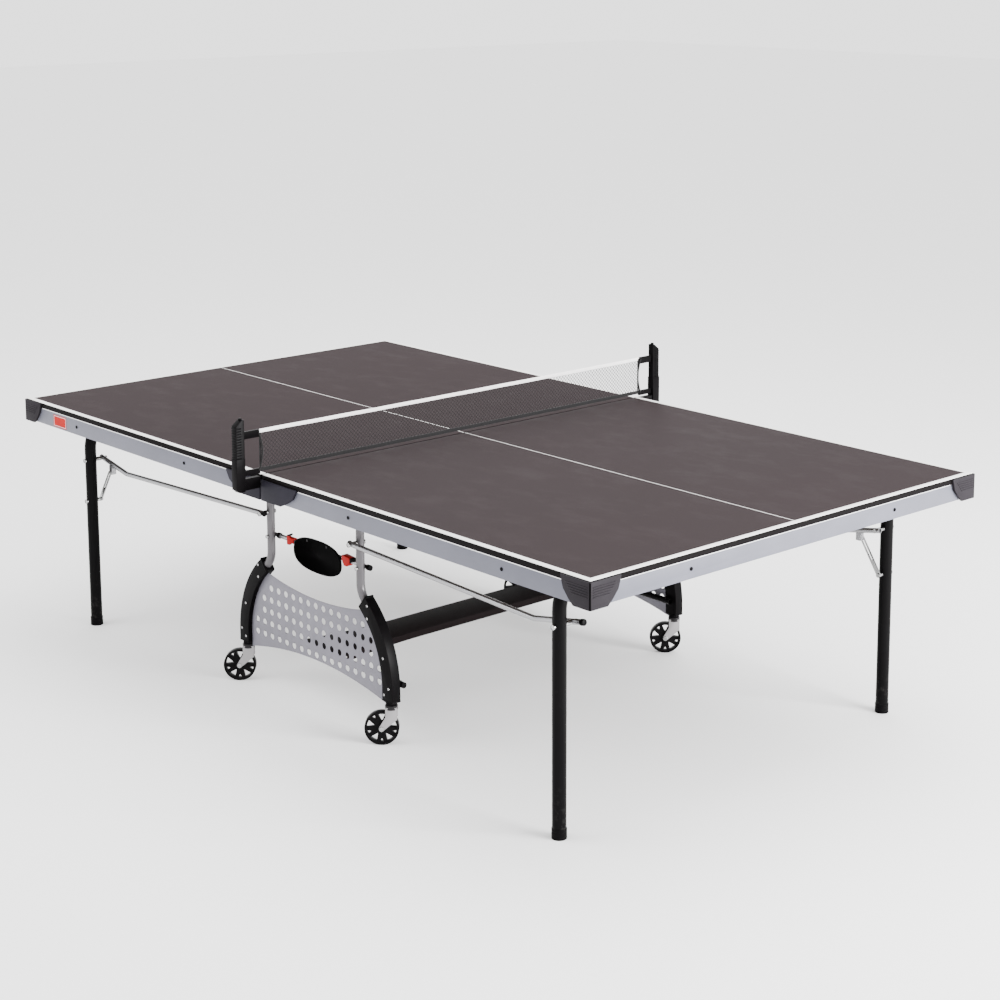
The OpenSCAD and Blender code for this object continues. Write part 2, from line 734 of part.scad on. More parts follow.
// Rim, hub and a thinner web with large and small openings
module wheel() {
    r = wheel_d / 2;
    hub_r = 12;
    rim_r = r - 6.5;
    web = wheel_w * 0.6;
    color("black") translate([caster_trail, 0, r]) rotate([90, 0, 0]) difference() {
        union() {
            difference() {
                cylinder(r = r, h = wheel_w, center = true, $fn = 96);
                cylinder(r = rim_r, h = wheel_w + 2, center = true, $fn = 96);
            }
            cylinder(r = rim_r + 1, h = web, center = true, $fn = 96);
            cylinder(r = hub_r, h = wheel_w, center = true);
        }
        cylinder(d = axle_d + 2 * fit, h = wheel_w + 2, center = true);
        for (a = [0:72:288]) rotate([0, 0, a + 18]) {
            linear_extrude(height = wheel_w, center = true) spoke_window(r * 0.4, rim_r - 0.5, r * 0.22);
            rotate([0, 0, 36]) linear_extrude(height = wheel_w, center = true)
                spoke_window(r * 0.64, rim_r - 0.5, r * 0.12);
        }
    }
}

// ---- net ----

// Post, upper and lower arms to the net's end, and the foot that reaches in to the table
module net_post() {
    arm_t = 8;
    face = -net_post_y + net_post_w / 2;
    low = top_height - net_post_drop;
    high = top_height + net_post_h;
    net_top = top_height + net_h;
    net_low = top_height + net_gap;
    shoulder = top_height + net_post_h - 112;
    foot_in = -apron_y - pad_proud - 2.5;
    color("black") {
        translate([-net_post_t / 2, 0, 0]) rotate([90, 0, 90]) linear_extrude(height = net_post_t)
            polygon([[-net_post_y - net_post_w / 2, low + 8], [-net_post_y - net_post_w / 2 + 8, low],
                [face, low], [face, high], [face - 8, high], [-net_post_y - net_post_w / 2, high - 16]]);
        translate([-net_post_t / 2 - 2, -net_post_y - net_post_w / 2 - 2, low + 8])
            cube([net_post_t + 4, net_post_w + 2, shoulder - low - 8]);
        translate([-arm_t / 2, face - 1, net_top - 22]) cube([arm_t, -net_end - face + 1, 22]);
        translate([-arm_t / 2, face - 1, net_low - 5]) cube([arm_t, -net_end - face + 1, 16]);
        translate([-arm_t, face - 1, low + 3]) cube([2 * arm_t, foot_in - face + 1, 34]);
    }
}

module net() {
    color("gray") translate([-net_t / 2, -net_end, top_height + net_gap])
        cube([net_t, 2 * net_end, net_h - net_gap]);
}

top_half();  // top_r
turned() top_half();  // top_l
apron_sides();  // apron_sides_r
turned() apron_sides();  // apron_sides_l
apron_end();  // apron_end_r
turned() apron_end();  // apron_end_l
under_rails();  // under_rails_r
turned() under_rails();  // under_rails_l
corner_pads();  // corner_pads_r
turned() corner_pads();  // corner_pads_l
centre_pads();  // centre_pads_r
turned() centre_pads();  // centre_pads_l
hinge_brackets();  // hinge_brackets_r
turned() hinge_brackets();  // hinge_brackets_l
leg_frame(1);  // leg_frame_r
turned() leg_frame(1);  // leg_frame_l
foot_caps();  // foot_caps_r
turned() foot_caps();  // foot_caps_l
leg_pins();  // leg_pins_r
turned() leg_pins();  // leg_pins_l
link_rod(plug_over, false);  // rod_near_r
turned() link_rod(plug_over, false);  // rod_far_l
mirror([0, 1, 0]) link_rod(plain_over, true);  // rod_far_r
turned() mirror([0, 1, 0]) link_rod(plain_over, true);  // rod_near_l
rod_plug();  // rod_plug_near_r
turned() rod_plug();  // rod_plug_far_l
mirror([0, 1, 0]) brace();  // brace_far_r
turned() mirror([0, 1, 0]) brace();  // brace_near_l
posts();  // posts_near
turned() posts();  // posts_far
shrouds();  // shrouds_near
turned() shrouds();  // shrouds_far
side_panel();  // side_panel_near
turned() side_panel();  // side_panel_far
crossbar();  // crossbar_near
turned() crossbar();  // crossbar_far
bar_caps();
lower_tube();  // lower_tube_near
turned() lower_tube();  // lower_tube_far
shelf();
name_plate();  // name_plate_near
turned() name_plate();  // name_plate_far
frame_bolts();
shroud_screws();
latch_block();  // latch_near_r
turned() latch_block();  // latch_far_l
latch_blade();  // latch_near_l
turned() latch_blade();  // latch_far_r
at_caster(1, -1) fork();  // fork_near_r
at_caster(-1, 1) fork();  // fork_far_l
at_caster(-1, -1) fork();  // fork_near_l
at_caster(1, 1) fork();  // fork_far_r
at_caster(1, -1) wheel();  // wheel_near_r
at_caster(-1, 1) wheel();  // wheel_far_l
at_caster(-1, -1) wheel();  // wheel_near_l
at_caster(1, 1) wheel();  // wheel_far_r
net_post();  // net_post_near
turned() net_post();  // net_post_far
net();
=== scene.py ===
import json
import math

import bpy
from mathutils import Matrix, Vector


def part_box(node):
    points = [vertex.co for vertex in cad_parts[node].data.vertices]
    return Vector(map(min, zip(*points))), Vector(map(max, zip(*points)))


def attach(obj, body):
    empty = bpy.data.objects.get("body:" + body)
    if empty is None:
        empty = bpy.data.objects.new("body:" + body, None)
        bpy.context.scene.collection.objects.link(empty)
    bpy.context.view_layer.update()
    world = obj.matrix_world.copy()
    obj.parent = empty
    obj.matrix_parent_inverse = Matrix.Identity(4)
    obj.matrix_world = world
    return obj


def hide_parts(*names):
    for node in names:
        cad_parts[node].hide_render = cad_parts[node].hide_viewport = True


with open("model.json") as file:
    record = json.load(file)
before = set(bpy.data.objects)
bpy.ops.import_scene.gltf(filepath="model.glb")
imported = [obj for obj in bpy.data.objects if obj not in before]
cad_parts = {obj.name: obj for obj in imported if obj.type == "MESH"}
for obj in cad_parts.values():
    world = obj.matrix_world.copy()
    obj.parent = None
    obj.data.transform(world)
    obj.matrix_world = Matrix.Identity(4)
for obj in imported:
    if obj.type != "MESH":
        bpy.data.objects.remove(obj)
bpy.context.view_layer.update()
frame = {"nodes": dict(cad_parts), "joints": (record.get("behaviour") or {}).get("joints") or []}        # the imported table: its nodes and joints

joints = {joint["name"]: joint for joint in frame["joints"]}
legPivot = Vector(joints["leg_swing_r"]["pos_m"])
rodPin = Vector(joints["rod_swing_r"]["pos_m"])
bracePin = Vector(joints["brace_swing_r"]["pos_m"])
halfTurn = Matrix.Rotation(math.pi, 4, "Z")
acrossMirror = Matrix.Scale(-1, 4, (0, 1, 0))
alongMirror = Matrix.Scale(-1, 4, (1, 0, 0))
sides = {"near": -1, "far": 1}


# camera: low, from the near right corner of the table
view = {"place": (4.824, -4.063, 2.270), "yaw": 47.57, "down": 9.82, "lens": 74.6, "shiftX": -0.046,
        "shiftY": -0.20}
yaw, down = math.radians(view["yaw"]), math.radians(view["down"])
lookAlong = Vector((-math.sin(yaw) * math.cos(down), math.cos(yaw) * math.cos(down), -math.sin(down)))
cameraData = bpy.data.cameras.new("camera")
cameraData.lens = view["lens"]
cameraData.sensor_width = 36
cameraData.shift_x = view["shiftX"]
cameraData.shift_y = view["shiftY"]
cameraData.clip_end = 200
camera = bpy.data.objects.new("camera", cameraData)
camera.location = view["place"]
camera.rotation_euler = lookAlong.to_track_quat("-Z", "Y").to_euler()
bpy.context.scene.collection.objects.link(camera)
bpy.context.scene.camera = camera
print("camera set")


class Wire:
    # one value or colour inside a material, so that sums on it read as sums
    def __init__(self, finish, socket):
        self.finish = finish
        self.socket = socket

    def maths(self, operation, other=0.0, swapped=False):
        first, second = (other, self) if swapped else (self, other)
        return self.finish.add("Math", {"operation": operation}, {0: first, 1: second})

    def __add__(self, other):
        return self.maths("ADD", other)

    def __sub__(self, other):
        return self.maths("SUBTRACT", other)

    def __rsub__(self, other):
        return self.maths("SUBTRACT", other, swapped=True)

    def __mul__(self, other):
        return self.maths("MULTIPLY", other)

    def __truediv__(self, other):
        return self.maths("DIVIDE", other)

    def __lt__(self, other):
        return self.maths("LESS_THAN", other)

    __radd__ = __add__
    __rmul__ = __mul__


class Finish:
    # a material around one principled shader
    def __init__(self, name, colour, fixed):
        self.material = bpy.data.materials.new(name)
        self.material.use_nodes = True
        self.tree = self.material.node_tree
        self.tree.nodes.clear()
        self.shader = self.tree.nodes.new("ShaderNodeBsdfPrincipled")
        output = self.tree.nodes.new("ShaderNodeOutputMaterial")
        self.tree.links.new(self.shader.outputs[0], output.inputs[0])
        self.put("Base Color", (*colour, 1))
        for socketName, value in fixed.items():
            self.put(socketName, value)
        self.place = self.add("TexCoord", {}, {}, out="Object")

    def feed(self, socket, value):
        if isinstance(value, Wire):
            self.tree.links.new(value.socket, socket)
        else:
            socket.default_value = value

    def put(self, socketName, value):
        self.feed(self.shader.inputs[socketName], value)

    def add(self, kind, settings, sockets, out=0):
        node = self.tree.nodes.new("ShaderNode" + kind)
        for key, value in settings.items():
            setattr(node, key, value)
        for key, value in sockets.items():
            self.feed(node.inputs[key], value)
        return Wire(self, node.outputs[out])

    def blotch(self, scale, detail=3.0, roughness=0.55, stretch=None):
        place = self.place
        if stretch:
            place = self.add("Mapping", {}, {"Vector": place, "Scale": stretch})
        sockets = {"Vector": place, "Scale": scale, "Detail": detail, "Roughness": roughness}
        return self.add("TexNoise", {}, sockets)

    def between(self, mask, first, second):
        ends = [(*colour, 1) if isinstance(colour, tuple) else colour for colour in (first, second)]
        return self.add("Mix", {"data_type": "RGBA"}, {0: mask, 6: ends[0], 7: ends[1]}, out=2)

    def axis(self, name):
        return self.add("SeparateXYZ", {}, {"Vector": self.place}, out=name)

    def relief(self, height, depth, strength=1.0):
        self.put("Normal", self.add("Bump", {}, {"Height": height, "Distance": depth, "Strength": strength}))


def shade(colour, factor):
    return tuple(part * factor for part in colour)


def limited(wire, low, high):
    return wire.finish.add("MapRange", {"clamp": True}, {"Value": wire, "From Min": low, "From Max": high})


# powder coat: slight mottling, orange peel, and dust or scuffs towards the floor
def powderCoat(name, colour, metal, gloss, peel, shine=0.5, dusty=False):
    finish = Finish(name, colour, {"Metallic": metal, "IOR": 1.5, "Specular IOR Level": shine})
    mottle = finish.blotch(6)
    fleck = finish.blotch(900, 2)
    tone = limited(mottle * 0.6 + fleck * 0.4, 0.35, 0.65)
    colourNow = finish.between(tone, shade(colour, 0.9), shade(colour, 1.1))
    rough = gloss + mottle * 0.12 - 0.06
    if dusty:
        low = limited(finish.axis("Z"), 0.16, 0.02)
        scuff = limited(finish.blotch(55, 6, 0.7), 0.52, 0.66) * low
        colourNow = finish.between(scuff * 0.4, colourNow, (0.035, 0.033, 0.031))
        rough = rough + scuff * 0.25
    finish.put("Base Color", colourNow)
    finish.put("Roughness", rough)
    finish.relief(finish.blotch(peel, 2), 0.00025, 0.5)
    return finish


# moulded plastic or rubber: fine spark-eroded grain
def moulded(name, colour, gloss, grain, depth, shine=0.5, sheen=0.0):
    finish = Finish(name, colour, {"IOR": 1.48, "Specular IOR Level": shine, "Sheen Weight": sheen})
    cloud = finish.blotch(14, 4)
    speck = finish.blotch(grain, 2, 0.6)
    finish.put("Base Color", finish.between(limited(cloud * 0.5 + speck * 0.5, 0.36, 0.64),
                                            shade(colour, 0.82), shade(colour, 1.2)))
    finish.put("Roughness", gloss + cloud * 0.16 - 0.08)
    finish.relief(speck, depth, 0.6)
    return finish


# zinc plate: bright, with fine brushed streaks and duller patches
def plated(name, colour, gloss):
    finish = Finish(name, colour, {"Metallic": 1.0})
    streak = finish.blotch(420, 2, 0.5, stretch=(1, 0.15, 1))
    patch = finish.blotch(38, 5)
    finish.put("Base Color", finish.between(limited(patch, 0.35, 0.7), shade(colour, 0.78), colour))
    finish.put("Roughness", gloss + streak * 0.12 + patch * 0.1 - 0.1)
    finish.relief(streak, 0.00008, 0.5)
    return finish


# playing surface: matt rolled paint with a fine tooth and faint ball smudges
def playPaint():
    dark = (0.0262, 0.0196, 0.0208)
    finish = Finish("playPaint", dark, {"IOR": 1.45, "Specular IOR Level": 0.02})
    broad = finish.blotch(1.6, 4)
    smudge = limited(finish.blotch(7.5, 7, 0.62, stretch=(1, 1.7, 1)), 0.48, 0.74)
    tooth = finish.blotch(950, 2, 0.6)
    tone = limited(broad * 0.55 + tooth * 0.45, 0.36, 0.64)
    worn = finish.between(smudge * 0.16, finish.between(tone, shade(dark, 0.95), shade(dark, 1.05)),
                          shade(dark, 1.2))
    finish.put("Base Color", worn)
    finish.put("Roughness", 0.56 + broad * 0.1 - smudge * 0.07)
    finish.relief(tooth + finish.blotch(210, 2) * 0.6, 0.00018, 0.6)
    return finish


def linePaint():
    white = (0.84, 0.83, 0.81)
    finish = Finish("linePaint", white, {"IOR": 1.45})
    tooth = finish.blotch(950, 2, 0.6)
    rubbed = limited(finish.blotch(60, 6, 0.7), 0.62, 0.8)
    finish.put("Base Color", finish.between(rubbed * 0.35, white, (0.6, 0.58, 0.56)))
    finish.put("Roughness", 0.5 + tooth * 0.12)
    finish.relief(tooth, 0.00012, 0.5)
    return finish


# bare fibreboard under the top, sealed dark
def fibreBoard():
    brown = (0.040, 0.027, 0.019)
    finish = Finish("fibreBoard", brown, {"IOR": 1.45, "Specular IOR Level": 0.25})
    fibre = finish.blotch(320, 4, 0.7, stretch=(0.25, 1, 1))
    cloud = finish.blotch(9, 4)
    finish.put("Base Color", finish.between(limited(fibre * 0.7 + cloud * 0.3, 0.34, 0.66),
                                            shade(brown, 0.7), shade(brown, 1.35)))
    finish.put("Roughness", 0.72 + fibre * 0.15)
    finish.relief(fibre, 0.0002, 0.6)
    return finish


# woven tape of the net's edges, its weave in the piece's own map
def tapeCloth(name, colour, threadPitch):
    finish = Finish(name, colour, {"Sheen Weight": 0.1, "Specular IOR Level": 0.2, "Roughness": 0.85})
    along = finish.axis("Y") / threadPitch
    up = finish.axis("Z") / threadPitch
    weave = (along.maths("PINGPONG", 0.5) + up.maths("PINGPONG", 0.5))
    soil = finish.blotch(35, 5)
    finish.put("Base Color", finish.between(limited(soil * 0.7 + weave * 0.3, 0.3, 0.75),
                                            shade(colour, 0.86), colour))
    finish.put("Roughness", 0.8 + soil * 0.1)
    finish.relief(weave, 0.0003, 0.7)
    return finish


# knotted net: threads on the diagonal, open between them
def netCord(cell, thread):
    colour = (0.007, 0.006, 0.0065)
    finish = Finish("netCord", colour, {"Roughness": 0.8, "Specular IOR Level": 0.2})
    uv = finish.add("UVMap", {"uv_map": "netMap"}, {})
    along = finish.add("SeparateXYZ", {}, {"Vector": uv}, out="X")
    up = finish.add("SeparateXYZ", {}, {"Vector": uv}, out="Y")
    pitch = cell * math.sqrt(2)
    rising = ((along + up) / pitch).maths("PINGPONG", 0.5)
    falling = ((along - up) / pitch).maths("PINGPONG", 0.5)
    half = thread / cell / 2
    threads = (rising < half).maths("MAXIMUM", falling < half)
    knots = (rising.maths("MAXIMUM", falling)) < half * 1.9
    finish.put("Alpha", threads.maths("MAXIMUM", knots))
    twist = ((along * 2.0) / thread).maths("PINGPONG", 0.5)
    finish.put("Base Color", finish.between(twist, shade(colour, 0.8), shade(colour, 1.5)))
    finish.relief(half - rising.maths("MINIMUM", falling) + twist * 0.1, 0.0006, 0.6)
    return finish


def stageFloor():
    finish = Finish("studioFloor", (0.93, 0.93, 0.93), {"Roughness": 0.7, "Specular IOR Level": 0.2})
    finish.put("Roughness", 0.65 + finish.blotch(0.5) * 0.1)
    return finish


looks = {
    "board": playPaint(),
    "line": linePaint(),
    "edge": moulded("edgeBand", (0.0040, 0.0033, 0.0035), 0.55, 700, 0.0001, shine=0.03),
    "under": fibreBoard(),
    "apron": powderCoat("apronSilver", (0.112, 0.114, 0.140), 0.05, 0.42, 1400, shine=0.2),
    # near-white apron lip: a painted highlight along the apron's top edge, not the apron's own colour
    "lipHighlight": powderCoat("apronLipPaintedHighlight", (0.85, 0.85, 0.87), 0.1, 0.3, 1400),
    "panel": powderCoat("panelSilver", (0.158, 0.153, 0.178), 0.05, 0.45, 1400, shine=0.15),
    "tube": powderCoat("tubeSilver", (0.088, 0.083, 0.088), 0.35, 0.24, 1500, shine=0.3),
    "rod": powderCoat("rodSilver", (0.30, 0.30, 0.31), 0.85, 0.17, 1500, shine=0.5),
    "black": powderCoat("blackCoat", (0.0022, 0.0020, 0.0022), 0.0, 0.26, 1300, shine=0.035, dusty=True),
    "shelf": powderCoat("shelfCoat", (0.0060, 0.0043, 0.0045), 0.0, 0.62, 1300, shine=0.02),
    "blackSteel": powderCoat("blackSteel", (0.0045, 0.0040, 0.0044), 0.0, 0.45, 1300, shine=0.05),
    "plastic": moulded("blackPlastic", (0.0024, 0.0021, 0.0024), 0.36, 1100, 0.0001, shine=0.03),
    "plate": moulded("platePlastic", (0.0016, 0.0015, 0.0016), 0.6, 1100, 0.00008, shine=0.01),
    "pad": moulded("padRubber", (0.0150, 0.0130, 0.0155), 0.55, 700, 0.00018, shine=0.06),
    # near-black corner strip: painted shade where the pad's two faces meet
    "padCornerShade": moulded("padCornerPaintedShade", (0.0012, 0.0011, 0.0012), 0.7, 700, 0.00018, shine=0.01),
    "centrePad": moulded("centrePadRubber", (0.0130, 0.0120, 0.0175), 0.5, 700, 0.00018, shine=0.06),
    "zinc": plated("zincPlate", (0.42, 0.42, 0.42), 0.24),
    "red": moulded("redPlastic", (0.25, 0.0040, 0.0035), 0.35, 900, 0.00006, shine=0.06),
    "fork": powderCoat("forkGrey", (0.26, 0.25, 0.255), 0.35, 0.32, 1500, shine=0.3),
    "bearing": powderCoat("bearingSteel", (0.020, 0.019, 0.020), 0.6, 0.3, 1500, shine=0.2),
    "wheel": moulded("wheelPlastic", (0.0030, 0.0027, 0.0030), 0.36, 1100, 0.0001, shine=0.04),
    "net": netCord(0.009, 0.0014),
    "whiteTape": tapeCloth("whiteTape", (0.90, 0.88, 0.87), 0.0011),
    "blackTape": tapeCloth("blackTape", (0.004, 0.0036, 0.004), 0.0011),
    "label": moulded("redLabel", (0.36, 0.0070, 0.0060), 0.4, 900, 0.00003, shine=0.05),
    "labelRim": moulded("paleLabel", (0.70, 0.60, 0.60), 0.4, 900, 0.00003, shine=0.2),
}
print("materials ready:", len(looks))


def clearPicks():
    if bpy.context.object and bpy.context.object.mode != "OBJECT":
        bpy.ops.object.mode_set(mode="OBJECT")
    bpy.ops.object.select_all(action="DESELECT")


def pickOnly(*pieces):
    clearPicks()
    for piece in pieces:
        piece.select_set(True)
    bpy.context.view_layer.objects.active = pieces[0]


def settle(piece, name=None):
    pickOnly(piece)
    bpy.ops.object.transform_apply(location=True, rotation=True, scale=True)
    if name:
        piece.name = name
        piece.data.name = name
    return piece


def block(low, high, name="block"):
    clearPicks()
    low, high = Vector(low), Vector(high)
    bpy.ops.mesh.primitive_cube_add(size=1, location=(low + high) / 2)
    piece = bpy.context.object
    piece.scale = high - low
    return settle(piece, name)


# a drum along an axis, its middle at place
def drum(place, radius, length, axis="Z", corners=48, name="drum"):
    clearPicks()
    turn = {"X": (0, math.pi / 2, 0), "Y": (math.pi / 2, 0, 0), "Z": (0, 0, 0)}[axis]
    bpy.ops.mesh.primitive_cylinder_add(vertices=corners, radius=radius, depth=length, location=place,
                                        rotation=turn)
    return settle(bpy.context.object, name)


# picks the faces that pass the test, then runs the edit steps on them
def editFaces(piece, test, *steps):
    pickOnly(piece)
    bpy.ops.object.mode_set(mode="EDIT")
    bpy.ops.mesh.select_mode(type="FACE")
    bpy.ops.mesh.select_all(action="DESELECT")
    bpy.ops.object.mode_set(mode="OBJECT")
    for face in piece.data.polygons:
        face.select = test(face.center, face.normal)
    bpy.ops.object.mode_set(mode="EDIT")
    for step in steps:
        step()
    bpy.ops.object.mode_set(mode="OBJECT")
    return piece


def wholeEdit(piece, steps):
    pickOnly(piece)
    bpy.ops.object.mode_set(mode="EDIT")
    for step in steps:
        bpy.ops.mesh.select_all(action="SELECT")
        step()
    bpy.ops.object.mode_set(mode="OBJECT")
    return piece


def cut(piece, place, across):
    return wholeEdit(piece, [lambda: bpy.ops.mesh.bisect(plane_co=place, plane_no=across)])


def faceNormalsOut(piece):
    return wholeEdit(piece, [lambda: bpy.ops.mesh.normals_make_consistent(inside=False)])


def withModifier(piece, kind, **settings):
    pickOnly(piece)
    modifier = piece.modifiers.new(kind.lower(), kind)
    for key, value in settings.items():
        setattr(modifier, key, value)
    bpy.ops.object.modifier_apply(modifier=modifier.name)
    return piece


def roundEdges(piece, width, segments=2, angle=32):
    return withModifier(piece, "BEVEL", width=width, segments=segments, limit_method="ANGLE",
                        angle_limit=math.radians(angle), use_clamp_overlap=True)


def smooth(piece, angle=38):
    pickOnly(piece)
    bpy.ops.object.shade_smooth_by_angle(angle=math.radians(angle))
    return piece


def copyPiece(piece, name, matrix=None):
    twin = piece.copy()
    twin.data = piece.data.copy()
    twin.name = name
    twin.data.name = name
    bpy.context.scene.collection.objects.link(twin)
    if matrix is not None:
        twin.data.transform(matrix)
        if matrix.determinant() < 0:
            faceNormalsOut(twin)
    return twin


def joinAll(pieces, name):
    pickOnly(*pieces)
    if len(pieces) > 1:
        bpy.ops.object.join()
    piece = bpy.context.object
    piece.name = name
    piece.data.name = name
    return piece


# a copy of a CAD node, its triangles joined into whole faces and its edges rounded
def rounded(node, name, width, segments=2, angle=32):
    clearPicks()
    source = frame["nodes"][node]
    piece = source.copy()
    piece.data = source.data.copy()
    piece.parent = None
    piece.name = name
    for key in list(piece.keys()):
        del piece[key]
    bpy.context.scene.collection.objects.link(piece)
    pickOnly(piece)
    bpy.ops.mesh.customdata_custom_splitnormals_clear()
    wholeEdit(piece, [lambda: bpy.ops.mesh.remove_doubles(threshold=0.00003),
                      lambda: bpy.ops.mesh.dissolve_limited(angle_limit=math.radians(0.8))])
    if width:
        roundEdges(piece, width, segments, angle)
    return smooth(piece)


def dress(piece, look, slot, body, *replaced):
    if look:
        piece.data.materials.clear()
        piece.data.materials.append(looks[look].material)
    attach(piece, body)
    if replaced:
        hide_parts(*replaced)
    return piece


# a domed head with its flat at the origin, looking along +Z
def domeHead(radius, height, socket=0.0):
    clearPicks()
    bpy.ops.mesh.primitive_uv_sphere_add(segments=24, ring_count=16, radius=radius)
    piece = settle(bpy.context.object, "dome")
    pickOnly(piece)
    bpy.ops.object.mode_set(mode="EDIT")
    bpy.ops.mesh.select_all(action="SELECT")
    bpy.ops.mesh.bisect(plane_co=(0, 0, 0), plane_no=(0, 0, 1), clear_inner=True, use_fill=True)
    bpy.ops.mesh.select_all(action="SELECT")
    bpy.ops.transform.resize(value=(1, 1, height / radius))
    bpy.ops.object.mode_set(mode="OBJECT")
    if socket:
        top = height * 0.8
        cut(piece, (0, 0, top), (0, 0, 1))
        editFaces(piece, lambda centre, normal: centre.z > top,
                  lambda: bpy.ops.transform.resize(value=(1, 1, 0.0), center_override=(0, 0, top)),
                  lambda: bpy.ops.mesh.inset(thickness=radius * 0.12),
                  lambda: bpy.ops.mesh.extrude_region_move(TRANSFORM_OT_translate={"value": (0, 0, -socket)}))
    return smooth(piece, 50)


# matrix that takes +Z to the given direction and the origin to place
def facing(place, direction):
    return Matrix.Translation(place) @ Vector(direction).to_track_quat("Z", "Y").to_matrix().to_4x4()


def scatter(model, spots, name):
    copies = [copyPiece(model, f"{name}.{number}", facing(*spot)) for number, spot in enumerate(spots)]
    bpy.data.objects.remove(model)
    return joinAll(copies, name)


# boards: painted faces are split where the lines run, so that their edges stay crisp
boardLook = {"lineWidth": 0.0172, "centreLine": 0.0024, "edgeRound": 0.0012, "bandTop": 0.003}


def makeBoards():
    low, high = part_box("top_r")
    line, middle = boardLook["lineWidth"], boardLook["centreLine"] / 2
    board = block(low, high, "boardRight")
    roundEdges(board, boardLook["edgeRound"], 3)
    for y in (high.y - line, low.y + line):
        cut(board, (0, y, 0), (0, 1, 0))
    cut(board, (high.x - line, 0, 0), (1, 0, 0))
    for y in (middle, -middle):
        cut(board, (0, y, 0), (0, 1, 0))
    cut(board, (0, 0, high.z - boardLook["bandTop"]), (0, 0, 1))
    for look in ("board", "line", "edge", "under"):
        board.data.materials.append(looks[look].material)
    for face in board.data.polygons:
        centre, normal = face.center, face.normal
        if normal.z > 0.25:
            onLine = abs(centre.y) > high.y - line or centre.x > high.x - line or abs(centre.y) < middle
            face.material_index = 1 if onLine else 0
        else:
            face.material_index = 3 if normal.z < -0.5 else 2
    smooth(board, 30)
    other = copyPiece(board, "boardLeft", halfTurn)
    dress(board, None, "board", "half_r", "top_r")
    dress(other, None, "board", "half_l", "top_l")


makeBoards()
print("boards painted")


# rubber pads: the corner ones carry five ribs a side and a near-black painted shade strip down the corner,
# where the two faces meet
padLook = {"round": 0.0022, "length": 0.106, "ribs": 5, "ribPitch": 0.0064, "ribHeight": 0.0038,
           "ribProud": 0.0016, "topDrop": 0.014, "cornerShadeNormal": 0.4,
           "cornerGap": 0.009, "endGap": 0.018, "taper": 0.05}


def makeCornerPads():
    piece = rounded("corner_pads_r", "cornerPadsRight", padLook["round"], 2)
    low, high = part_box("corner_pads_r")
    piece.data.materials.clear()
    for look in ("pad", "padCornerShade"):
        piece.data.materials.append(looks[look].material)
    # faces turned towards the corner diagonal get the near-black painted shade
    for face in piece.data.polygons:
        diagonal = min(face.normal.x, abs(face.normal.y)) > padLook["cornerShadeNormal"]
        onCorner = diagonal and abs(face.normal.z) < 0.3
        face.material_index = 1 if onCorner else 0
    ribs = []
    for count in range(padLook["ribs"]):
        z = high.z - padLook["topDrop"] - count * padLook["ribPitch"]
        reach = padLook["length"] * (1.0 - padLook["taper"] * count) - padLook["endGap"]
        half = padLook["ribHeight"] / 2
        proud = padLook["ribProud"]
        along = block((high.x - reach, low.y - proud, z - half),
                      (high.x - padLook["cornerGap"], low.y + 0.002, z + half), "rib")
        across = block((high.x - 0.002, low.y + padLook["cornerGap"], z - half),
                       (high.x + proud, low.y + reach, z + half), "rib")
        for rib in (along, across):
            roundEdges(rib, half * 0.8, 2)
            smooth(rib, 60)
            rib.data.materials.append(looks["pad"].material)
            ribs += [rib, copyPiece(rib, "rib", acrossMirror)]
    piece = joinAll([piece] + ribs, "cornerPadsRight")
    other = copyPiece(piece, "cornerPadsLeft", halfTurn)
    dress(piece, None, "pad", "half_r", "corner_pads_r")
    dress(other, None, "pad", "half_l", "corner_pads_l")


def makeCentrePads():
    piece = rounded("centre_pads_r", "centrePadsRight", 0.003, 3)
    other = copyPiece(piece, "centrePadsLeft", halfTurn)
    dress(piece, "centrePad", "pad", "half_r", "centre_pads_r")
    dress(other, "centrePad", "pad", "half_l", "centre_pads_l")


makeCornerPads()
makeCentrePads()
print("pads done")


# apron rails with softened folds, and their screws
apronLook = {"round": 0.0007, "screwRadius": 0.0052, "screwHeight": 0.0026, "socket": 0.0008,
             "alongScrews": (0.410, 1.047), "endScrews": (0.408,)}


def makeAprons():
    for node in ("apron_sides", "apron_end"):
        for half in "rl":
            rail = rounded(f"{node}_{half}", f"{node}Folded.{half}", apronLook["round"])
            dress(rail, "apron", "apron", "half_" + half, f"{node}_{half}")
    low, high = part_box("apron_sides_r")
    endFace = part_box("apron_end_r")[1].x
    z = (low.z + high.z) / 2
    spots = []
    for x in apronLook["alongScrews"]:
        spots += [((x, low.y, z), (0, -1, 0)), ((x, high.y, z), (0, 1, 0))]
    spots += [((endFace, y, z), (1, 0, 0)) for place in apronLook["endScrews"] for y in (-place, place)]
    model = domeHead(apronLook["screwRadius"], apronLook["screwHeight"], apronLook["socket"])
    screws = scatter(model, spots, "apronScrewsRight")
    other = copyPiece(screws, "apronScrewsLeft", halfTurn)
    dress(screws, "plastic", "plastic_black", "half_r")
    dress(other, "plastic", "plastic_black", "half_l")


# the rolled edge along the top of each apron: a real bead, painted near-white as a painted highlight where it
# catches the light
lipLook = {"tall": 0.0024, "proud": 0.0009, "along": (0.176, 1.268), "across": 0.661}


